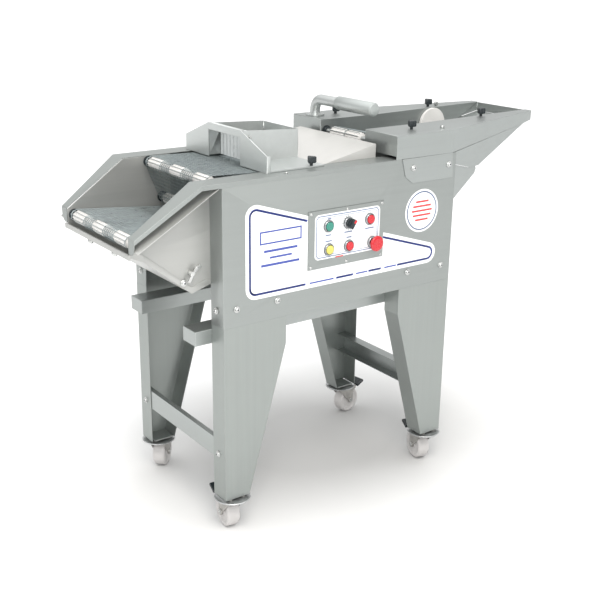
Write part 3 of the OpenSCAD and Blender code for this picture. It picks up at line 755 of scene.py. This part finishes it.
def labels():
    """White film labels with plain printed outlines and bars in place of words."""
    dress("side_labels", "label", 0.25 * MM, 0.2 * MM)
    side = at(0, SIDE_FILM, 0).y
    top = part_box("side_labels")[0].y
    inked("long_label_line", long_label_line(), side, "ink_blue")
    inked("long_label_bars", [bar(246, 622, 320, 626), bar(390, 622, 428, 626), bar(484, 622, 524, 626),
                              bar(112, 722, 208, 728), bar(128, 706, 192, 711), bar(104, 688, 214, 694)],
          side, "ink_blue")
    inked("long_label_mark", [bar(100, 742, 220, 746), bar(100, 770, 220, 774), bar(100, 746, 104, 770),
                              bar(216, 746, 220, 770)], side, "ink_blue")
    x, z, radius = ROUND_LABEL
    circle = [(x + radius * math.cos(math.pi * k / 30), z + radius * math.sin(math.pi * k / 30))
              for k in range(61)]
    inked("round_label_ring", line(circle, 3.4), side, "ink_grey")
    rows = [(24, 44), (12, 62), (0, 70), (-12, 62), (-24, 44)]
    inked("round_label_bars", [bar(x - w / 2, z - 2 + dz, x + w / 2, z + 3 + dz) for dz, w in rows],
          side, "ink_red")
    # double outline with cut corners, and a caption bar below each switch
    for inset, wide in ((5, 2.4), (9.5, 1.2)):
        x0, z0, x1, z1 = CONTROL_LABEL
        x0, z0, x1, z1 = x0 + inset, z0 + inset, x1 - inset, z1 - inset
        corners = [(x0 + 6, z0), (x1 - 6, z0), (x1, z0 + 6), (x1, z1 - 6), (x1 - 6, z1), (x0 + 6, z1),
                   (x0, z1 - 6), (x0, z0 + 6)]
        inked(f"control_line_{inset}", line(corners + corners[:1], wide), top, "ink_grey")
    captions = [(299, 738, 18), (360, 738, 24), (428, 738, 28),
                (301, 779, 12), (363, 724, 16), (300, 723, 20)]
    inked("control_captions", [bar(x - w / 2, z - 1.5, x + w / 2, z + 1.5) for x, z, w in captions],
          top, "ink_grey")
    inked("control_mark", [bar(322, 678, 346, 681), bar(322, 683, 346, 684)], top, "ink_red")


# ---- controls ----

SWITCHES = {"start_button": "green", "stop_button": "red", "feed_button": "red", "reset_button": "yellow",
            "emergency_stop": "red", "selector_knob": "black"}
# a switch ring's closed outline, as radius and height above the panel in mm
RING = ((11.5, 0), (14.6, 0), (15, 0.8), (15, 2.6), (14.6, 4.2), (13.4, 5.6), (12.4, 6), (11.5, 5.4))
POINTER_TURN = math.radians(35)
TICKS = 16


def on_panel(node, y):
    """The middle of a switch, from its node's box, at depth y."""
    low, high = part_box(node)
    return Vector(((low.x + high.x) / 2, y, (low.z + high.z) / 2))


def bezels():
    """A notched ring with an open middle and a contact block behind the panel, for every switch."""
    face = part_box("control_plate")[0].y
    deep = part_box("switch_bezels")[1].y - face
    rings, blocks = bmesh.new(), bmesh.new()
    for node in SWITCHES:
        base = on_panel(node, face)
        lathe(rings, mm(RING), base, -Y, 56, lambda step, i: 0.982 if step in (2, 3) and i % 2 else 1, ring=True)
        lathe(blocks, [(10.4 * MM, -deep + 0.4 * MM), (10.8 * MM, -deep + 1.2 * MM), (10.8 * MM, -deep * 0.6),
                       (10.2 * MM, -deep * 0.58), (10.8 * MM, -deep * 0.5), (10.8 * MM, -0.6 * MM)],
              base, -Y, 32)
        lathe(blocks, mm([(9.5, -0.5), (11.2, 0), (11.2, 0.6)]), base, -Y, 40)
    stand_in("switch_rings", rings, "chrome", "switch_bezels")
    add("switch_blocks", blocks, "black", "switch_bezels")


def push_button(node, name, profile, segments, stem):
    """A cap turned to a profile in mm from its front, then a stem of the given radius as deep as the node."""
    low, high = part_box(node)
    deep = high.y - low.y
    bm = bmesh.new()
    lathe(bm, mm(profile) + [(stem * MM, deep - 0.6 * MM), (5 * MM, deep)],
          on_panel(node, low.y), Y, segments)
    stand_in(name, bm, SWITCHES[node], node)


def selector():
    """The selector's red pointer, and the ticks round it."""
    dress("selector_knob", "black", 1.2 * MM, 0.5 * MM)
    tip = Vector((math.sin(POINTER_TURN), 0, math.cos(POINTER_TURN)))
    side = Vector((math.cos(POINTER_TURN), 0, -math.sin(POINTER_TURN))) * 3.3 * MM
    base = on_panel("selector_knob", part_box("selector_knob")[0].y)
    root, end = base + tip * 3 * MM, base + tip * 11.3 * MM
    bm = bmesh.new()
    prism(bm, [root - side, end - side, end + side, root + side], Y * -0.06 * MM)
    add("selector_pointer", bm, "red", "selector_knob", 30)
    bm = bmesh.new()
    foot = on_panel("selector_knob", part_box("side_labels")[0].y - INK_GAP)
    for k in range(TICKS):
        a = 2 * math.pi * k / TICKS
        out, half = ray(X, Z, a), ray(Z, -X, a) * 0.5 * MM
        inner, outer = foot + out * 16.2 * MM, foot + out * 20 * MM
        prism(bm, [inner - half, outer - half, outer + half, inner + half], Y * -INK_THICK)
    add("selector_ticks", bm, "dark", "side_labels", 30)


def controls():
    bezels()
    cap = [(4, 0.25), (8, 0.05), (10.2, 0.3), (10.9, 1.1), (10.9, 3.9), (6.5, 4), (5.6, 4.2)]
    for node in ("start_button", "stop_button", "feed_button", "reset_button"):
        push_button(node, node + "_cap", cap, 48, 5.6)
    low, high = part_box("emergency_stop")
    radius = (high.x - low.x) / 2 / MM
    push_button("emergency_stop", "emergency_stop_head",
                [(3, 0.9), (9, 0.4), (14, 0.05), (radius - 2.4, 1.0), (radius - 0.6, 2.6), (radius, 4.4),
                 (radius, 6.4), (radius - 1, 7.8), (13, 8.4), (12.4, 9.2), (12.6, 12.2), (6, 12.9)], 64, 5.8)
    selector()


# ---- knobs, bolts and small hardware ----

KNOBS = ("hood_knob", "deck_knob_near_front", "deck_knob_far_front", "deck_knob_near_rear",
         "deck_knob_far_rear")
KNOB_SEGMENTS = 72
# heights of the grip's outlines above its foot, in mm, and their sizes
KNOB_LEVELS = ((6.0, 0.80), (7.2, 0.94), (9.0, 1.0), (19.4, 1.0), (21.0, 0.93), (21.9, 0.78))


def knobs():
    """Three lobed clamp knobs on short studs."""
    for node in KNOBS:
        pin, _ = joint_at(node + "_turn")
        foot = Vector((pin.x, pin.y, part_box(node)[0].z))
        bm = bmesh.new()
        lathe(bm, mm([(3.6, 0), (4, 0.6), (4, 6)]), foot, Z, 24)
        loops = []
        for z, grow in KNOB_LEVELS:
            loop = []
            for i in range(KNOB_SEGMENTS):
                a = 2 * math.pi * i / KNOB_SEGMENTS
                lobe = max(0.0, math.cos(3 * (a - math.pi / 2)))
                r = (8.2 + 4.4 * lobe ** 0.8) * grow * MM
                loop.append(bm.verts.new(foot + Vector((math.cos(a) * r, math.sin(a) * r, z * MM))))
            loops.append(loop)
        stitch(bm, loops)
        stand_in(node + "_grip", bm, "black", node)


def socket_shade(bm, tip, out, radius):
    """Dark hexagon laid flush on a bolt's head: painted shade in place of the hollow of its hexagon socket."""
    u, v = frame_along(out)
    outline = [tip - out * 0.6 * MM + ray(u, v, k * math.pi / 3) * radius for k in range(6)]
    prism(bm, outline, out * 0.62 * MM)


WASHER_R, HEAD_R, BUTTON_TALL = 8 * MM, 5.5 * MM, 7 * MM


def button_head(bm, socket_shades, foot, out):
    """Washer and domed head, with a dark hexagon painted as the shade of its socket."""
    lathe(bm, [(WASHER_R * 0.94, 0), (WASHER_R, 0.3 * MM), (WASHER_R, 2.4 * MM), (WASHER_R * 0.93, 2.9 * MM)],
          foot, out, 36)
    lathe(bm, [(HEAD_R, 2.8 * MM), (HEAD_R, 4.2 * MM), (HEAD_R * 0.93, 5.6 * MM), (HEAD_R * 0.72, 6.6 * MM),
               (HEAD_R * 0.50, 6.95 * MM)], foot, out, 36)
    socket_shade(socket_shades, foot + out * BUTTON_TALL, out, 2.4 * MM)


def bolts():
    """Every bolt and screw in its CAD place, found from the separate solids of the node."""
    node = "body_bolts"
    bright, socket_shades = bmesh.new(), bmesh.new()
    for low, high in islands(node):
        size, middle = high - low, (low + high) / 2
        thin = min(range(3), key=lambda i: size[i])
        radius = max(size[i] for i in range(3) if i != thin) / 2
        outer = Vector((middle.x, high.y, middle.z))
        if thin == 1 and abs(size.y - BUTTON_TALL) < 0.6 * MM:
            # a domed bolt on either side of the machine
            far = middle.y > MID_Y
            foot = Vector((middle.x, low.y if far else high.y, middle.z))
            button_head(bright, socket_shades, foot, Y if far else -Y)
        elif thin == 0:
            # the same bolt on a face towards the front
            button_head(bright, socket_shades, Vector((high.x, middle.y, middle.z)), -X)
        elif thin == 1 and size.y < 4 * MM:
            # a small screw on the control side
            lathe(bright, [(radius * 0.98, 0), (radius, 0.8 * MM), (radius * 0.8, 1.7 * MM),
                           (radius * 0.4, 2 * MM)], outer, -Y, 24)
            socket_shade(socket_shades, outer - Y * 2.0 * MM, -Y, 0.9 * MM)
        elif thin == 1:
            lathe(bright, [(radius, 0), (radius, size.y - 0.8 * MM), (radius * 0.7, size.y)], outer, -Y, 24)
        else:
            # a bolt that stands on a level face
            foot, tall = Vector((middle.x, middle.y, low.z)), size.z
            lathe(bright, [(radius * 0.96, 0), (radius, 0.4 * MM), (radius, tall * 0.62),
                           (radius * 0.86, tall * 0.9), (radius * 0.5, tall)], foot, Z, 28)
            socket_shade(socket_shades, foot + Z * tall, Z, radius * 0.42)
    stand_in("body_bolt_heads", bright, "bolt", node)
    # the dark hexagons are painted shade standing in for the hollows of the bolts' sockets
    add("body_bolt_sockets", socket_shades, "dark", node)


def hexagon(bm, foot, out, radius, thick):
    """A hexagon nut with chamfered corners."""
    u, v = frame_along(out)
    flat = math.cos(math.pi / 6)
    loops = []
    for scale, along in ((0.88, 0), (1.0, thick * 0.12), (1.0, thick * 0.88), (0.88, thick)):
        loops.append([bm.verts.new(foot + out * along + ray(u, v, k * math.pi / 6) * radius
                                   * (scale if k % 2 == 0 else min(scale, flat))) for k in range(12)])
    stitch(bm, loops)


def gland():
    """The cable gland: a turned body with flanges and a ribbed cap, and a bore for the cable."""
    node = "cable_gland"
    low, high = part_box(node)
    mount = next(m for m in RECORD["mounts"] if m["name"] == "cable_inlet")
    centre = Vector(mount["pos_m"])
    bore, cap = mount["dims"]["r_mm"], 11
    profile = [(bore, 0), (8, 0), (8, 2), (12.6, 2.2), (13, 3), (13, 7.4), (12.6, 8), (8, 8.1), (8, 10),
               (13.6, 10), (14, 10.8), (14, 15.2), (13.4, 16), (cap, 16.2), (cap, 26.6), (10.2, 28.6),
               (8.4, 29.8), (bore, 30)]
    bm = bmesh.new()
    lathe(bm, [(r * MM, min(t * MM, high.x - low.x)) for r, t in profile],
          Vector((low.x, centre.y, centre.z)), Vector(mount["axis"]), 48,
          lambda step, i: 0.955 if profile[step][0] == cap and i % 4 < 2 else 1, ring=True)
    stand_in("gland_body", bm, "black", node)


# ---- drive inside the body ----

MOTOR = (545, 690)             # the motor's axis, as x and z for at()
CHAINS = ((174, "motor", "upper_rear"), (186, "lower_rear", "upper_rear"), (198, "motor", "infeed_front"))
CHAIN_R, LINK = 15 * MM, 8 * MM


def drive():
    node = "gearmotor"
    dress(node, "zinc", 2.5 * MM, 0.8 * MM)
    axis = at(MOTOR[0], 0, MOTOR[1])
    fins = bmesh.new()
    for y in range(-98, 7, 13):
        lathe(fins, mm([(43.5, y - 1.2), (44.4, y - 0.6), (44.4, y + 0.6), (43.5, y + 1.2)]), axis, Y, 48)
    add("motor_fins", fins, "zinc", node)
    node = "drive_chains"
    bm = bmesh.new()
    for y, *ends in CHAINS:
        pins = [axis if end == "motor" else joint_at(end + "_spin")[0] for end in ends]
        path = hull_path([(pin.x, pin.z, CHAIN_R) for pin in pins])
        total = path_length(path)
        links = max(8, round(total / LINK))
        step = total / links
        for k in range(links):
            (px, pz), (nx, nz) = path_point(path, step * (k + 0.5))
            along, normal = Vector((-nz, 0, nx)), Vector((nx, 0, nz))
            middle = Vector((px, MID_Y + y * MM, pz))
            for side in (-1, 1):
                inner = middle + Y * side * (1.4 if k % 2 else 2.2) * MM
                outline = []
                for i in range(12):
                    a = 2 * math.pi * i / 12
                    reach = math.cos(a) * 1.35 + (2.6 if math.cos(a) > 0 else -2.6)
                    outline.append(inner + along * reach * MM + normal * math.sin(a) * 1.5 * MM)
                prism(bm, outline, Y * side * 0.7 * MM)
            pin = middle + along * step / 2
            lathe(bm, mm([(1.3, -2.9), (1.5, -2.6), (1.5, 2.6), (1.3, 2.9)]), pin, Y, 10)
    stand_in("chain_links", bm, "dark", node)


def bearings():
    """Flanged bearings on the hanger plates, and the white guide disc of the infeed hopper."""
    node = "roller_bearings"
    flanges, plates, guide = bmesh.new(), bmesh.new(), bmesh.new()
    for low, high in islands(node):
        size, middle = high - low, (low + high) / 2
        if size.x > 70 * MM and size.y < 20 * MM and size.z < 100 * MM:
            # a disc cut off flat at its foot
            radius = size.x / 2
            hub = Vector((middle.x, low.y, high.z - radius))
            drop = math.asin(max(-1.0, min(1.0, (low.z - hub.z) / radius)))
            centre = Vector((hub.x, high.y - 9 * MM, hub.z))
            turns = [drop + (math.pi - 2 * drop) * k / 40 for k in range(41)]
            prism(guide, [centre + ray(X, Z, a) * radius for a in turns], Y * 8.7 * MM)
            lathe(guide, mm([(6.6, 0), (8, 0.8), (8, 3)]), hub, Y, 32)
        elif size.x > 60 * MM:
            prism(plates, [Vector((low.x, low.y, low.z)), Vector((high.x, low.y, low.z)),
                           Vector((high.x, low.y, high.z)), Vector((low.x, low.y, high.z))], Y * size.y)
        else:
            near = middle.y < MID_Y
            lathe(flanges, [(12.6 * MM, 0), (13.8 * MM, 0.8 * MM), (13.8 * MM, 3.4 * MM),
                            (10.4 * MM, 4.2 * MM), (9.8 * MM, size.y - 0.8 * MM), (8.8 * MM, size.y)],
                  Vector((middle.x, low.y if near else high.y, middle.z)), Y if near else -Y, 36)
    stand_in("bearing_flanges", flanges, "black", node)
    add("hanger_plates", plates, "side", node)
    soften(add("guide_disc", guide, "nylon", node), 1.2 * MM)


# ---- casters ----

# the raceway and top plate of a caster, as radius and height above the floor in mm
RACEWAY = ((25.4, 87.0), (26, 87.6), (26, 90.8), (27.5, 92.0), (44.6, 92.1), (45.8, 93.0), (45.8, 95.0),
           (44.8, 95.9), (32, 95.7), (30, 95.9))
# one half of the wheel, as radius and distance in from its side face in mm: hub, hollow, tread
WHEEL_HALF = 17.4
WHEEL = ((7, 0), (11, 0), (11.8, 2.4), (27.5, 2.8), (30, 0.4), (33.6, 0), (36.6, 0.8), (39.0, 3.2), (39.9, 7))
PEDAL_RIBS = (58, 63, 68, 73)  # mm from the swivel
PEDAL_SLOPE = 0.36


def casters():
    discs, nuts = bmesh.new(), bmesh.new()
    for place in ("near_front", "far_front", "near_rear", "far_rear"):
        swivel, _ = joint_at("swivel_" + place)
        roll, axle = joint_at("roll_" + place)
        trail = Vector((roll.x - swivel.x, roll.y - swivel.y, 0)).normalized()
        top = Vector((swivel.x, swivel.y, 0))
        lathe(discs, mm(RACEWAY), top, Z, 64)
        for dx in (-19, 19):
            for dy in (-18, 18):
                hexagon(nuts, top + Vector((dx * MM, dy * MM, 96 * MM)), Z, 6.4 * MM, 3.9 * MM)
        fork = "fork_" + place
        dress(fork, "fork", 1.2 * MM, 0.4 * MM)
        bm = bmesh.new()
        for side in (-1, 1):
            hexagon(bm, roll + axle * side * 20.4 * MM, axle * side, 7.2 * MM, 3.6 * MM)
        add(fork + "_nuts", bm, "bolt", fork)
        node = "wheel_" + place
        profile = [(r, inset - WHEEL_HALF) for r, inset in WHEEL] + [(40, 0)]
        profile += [(r, WHEEL_HALF - inset) for r, inset in reversed(WHEEL)]
        bm = bmesh.new()
        lathe(bm, mm(profile), roll, axle, 72)
        stand_in(node + "_tyre", bm, "wheel", node)
        pedal = "pedal_" + place
        dress(pedal, "black", 1.6 * MM, 0.8 * MM)
        bm = bmesh.new()
        up = Vector((-trail.x * 0.34, -trail.y * 0.34, 0.94))
        across, rise = axle * 44 * MM, trail * 2 * MM + Z * 0.72 * MM
        for along in PEDAL_RIBS:
            start = top + trail * along * MM + Z * (89.4 + (along - 54) * PEDAL_SLOPE) * MM - axle * 22 * MM
            prism(bm, [start, start + across, start + across + rise, start + rise], up * 0.7 * MM)
        add(pedal + "_ribs", bm, "black", pedal)
    stand_in("caster_discs", discs, "zinc", "caster_plates")
    add("caster_nuts", nuts, "nut", "caster_plates", 30)


# ---- stage, light and camera ----

FLOOR_HALF = 400                               # metres, so that its edge is out of sight
SHADE_MIDDLE, SHADE_SIZE = (-0.08, -0.10, 0), (1.02, 0.74)
# height of the view direction, and the dome's brightness there: white rim, grey band, bright top
DOME = ((0.05, 0.52), (0.10, 0.22), (0.5, 0.58), (1.0, 1.0))
DOME_STRENGTH = 2.0
# the viewpoint, from the near front leg's outer edge at the floor, in metres and degrees
EYE, YAW, PITCH, ROLL = (-1.1205, -2.0556, 1.3701), 36.10, 19.03, 0.77
LENS, SENSOR = 59.25, 36                       # mm


def area_light(name, place, target, size, power, color=(1, 1, 1)):
    data = bpy.data.lights.new(name, "AREA")
    data.shape = "RECTANGLE"
    data.size, data.size_y = size
    data.energy = power
    data.color = color
    light = bpy.data.objects.new(name, data)
    light.location = place
    light.rotation_euler = (Vector(target) - Vector(place)).to_track_quat("-Z", "Y").to_euler()
    bpy.context.scene.collection.objects.link(light)


def floor():
    """Pale paper with a greyer middle and a soft edge, which stands in for a diffuse shadow."""
    s = Shader("floor_paper", rough=0.9, spec=0.2)
    mapping = s.nodes.new("ShaderNodeMapping")
    mapping.inputs["Scale"].default_value = (1 / SHADE_SIZE[0], 1 / SHADE_SIZE[1], 1)
    mapping.inputs["Location"].default_value = SHADE_MIDDLE
    s.link(s.coords, mapping.inputs["Vector"])
    length = s.nodes.new("ShaderNodeVectorMath")
    length.operation = "LENGTH"
    s.link(mapping.outputs["Vector"], length.inputs[0])
    spread = s.add(length.outputs["Value"], s.add(s.noise(6, (1, 1, 1), 2), 0.05, "MULTIPLY"))
    s.to(s.ramp(spread, [(0.28, (0.46, 0.46, 0.455)), (0.62, (0.68, 0.68, 0.675)),
                         (0.92, (0.88, 0.88, 0.88))]), "color")
    bm = bmesh.new()
    bmesh.ops.create_grid(bm, x_segments=1, y_segments=1, size=FLOOR_HALF)
    obj = bpy.data.objects.new("floor", from_bmesh("floor", bm))
    obj.data.materials.append(s.mat)
    bpy.context.scene.collection.objects.link(obj)


def dome():
    """Soft studio dome, brightest overhead, with a white rim where it meets the floor."""
    world = bpy.data.worlds.new("studio")
    world.use_nodes = True
    nodes, links = world.node_tree.nodes, world.node_tree.links
    split = nodes.new("ShaderNodeSeparateXYZ")
    links.new(nodes.new("ShaderNodeTexCoord").outputs["Generated"], split.inputs[0])
    rise = nodes.new("ShaderNodeValToRGB")
    band = rise.color_ramp
    while len(band.elements) < len(DOME):
        band.elements.new(0.5)
    for element, (height, level) in zip(band.elements, DOME):
        element.position = height
        element.color = (level, level, level, 1)
    links.new(split.outputs["Z"], rise.inputs["Fac"])
    links.new(rise.outputs["Color"], nodes["Background"].inputs["Color"])
    nodes["Background"].inputs["Strength"].default_value = DOME_STRENGTH
    bpy.context.scene.world = world


def stage():
    floor()
    dome()
    area_light("key", (-2.6, -3.6, 2.1), (0, 0, 0.6), (1.8, 1.6), 62)
    area_light("over", (-1.1, -2.0, 3.3), (-0.25, 0, 0.9), (1.3, 1.3), 62, (1.0, 0.96, 0.91))
    bpy.context.scene.view_settings.view_transform = "Standard"


def camera():
    """The photograph's viewpoint."""
    yaw, pitch, roll = math.radians(YAW), math.radians(PITCH), math.radians(ROLL)
    data = bpy.data.cameras.new("camera")
    data.sensor_width = SENSOR
    data.lens = LENS
    data.clip_end = 900
    cam = bpy.data.objects.new("camera", data)
    ahead = Vector((math.sin(yaw) * math.cos(pitch), math.cos(yaw) * math.cos(pitch), -math.sin(pitch)))
    right = ahead.cross(Z).normalized()
    up = right.cross(ahead)
    r = right * math.cos(roll) + up * math.sin(roll)
    u = up * math.cos(roll) - right * math.sin(roll)
    turn = Matrix((r, u, -ahead)).transposed().to_4x4()
    cam.matrix_world = Matrix.Translation(at(0, 0, 0) + Vector(EYE)) @ turn
    bpy.context.scene.collection.objects.link(cam)
    bpy.context.scene.camera = cam


camera()
sheet_metal()
rollers()
belts()
curtain()
hood_bolts()
press_parts()
labels()
controls()
knobs()
bolts()
gland()
drive()
bearings()
dress("chute_latch", "bolt", 0.6 * MM, 0.3 * MM)
casters()
stage()
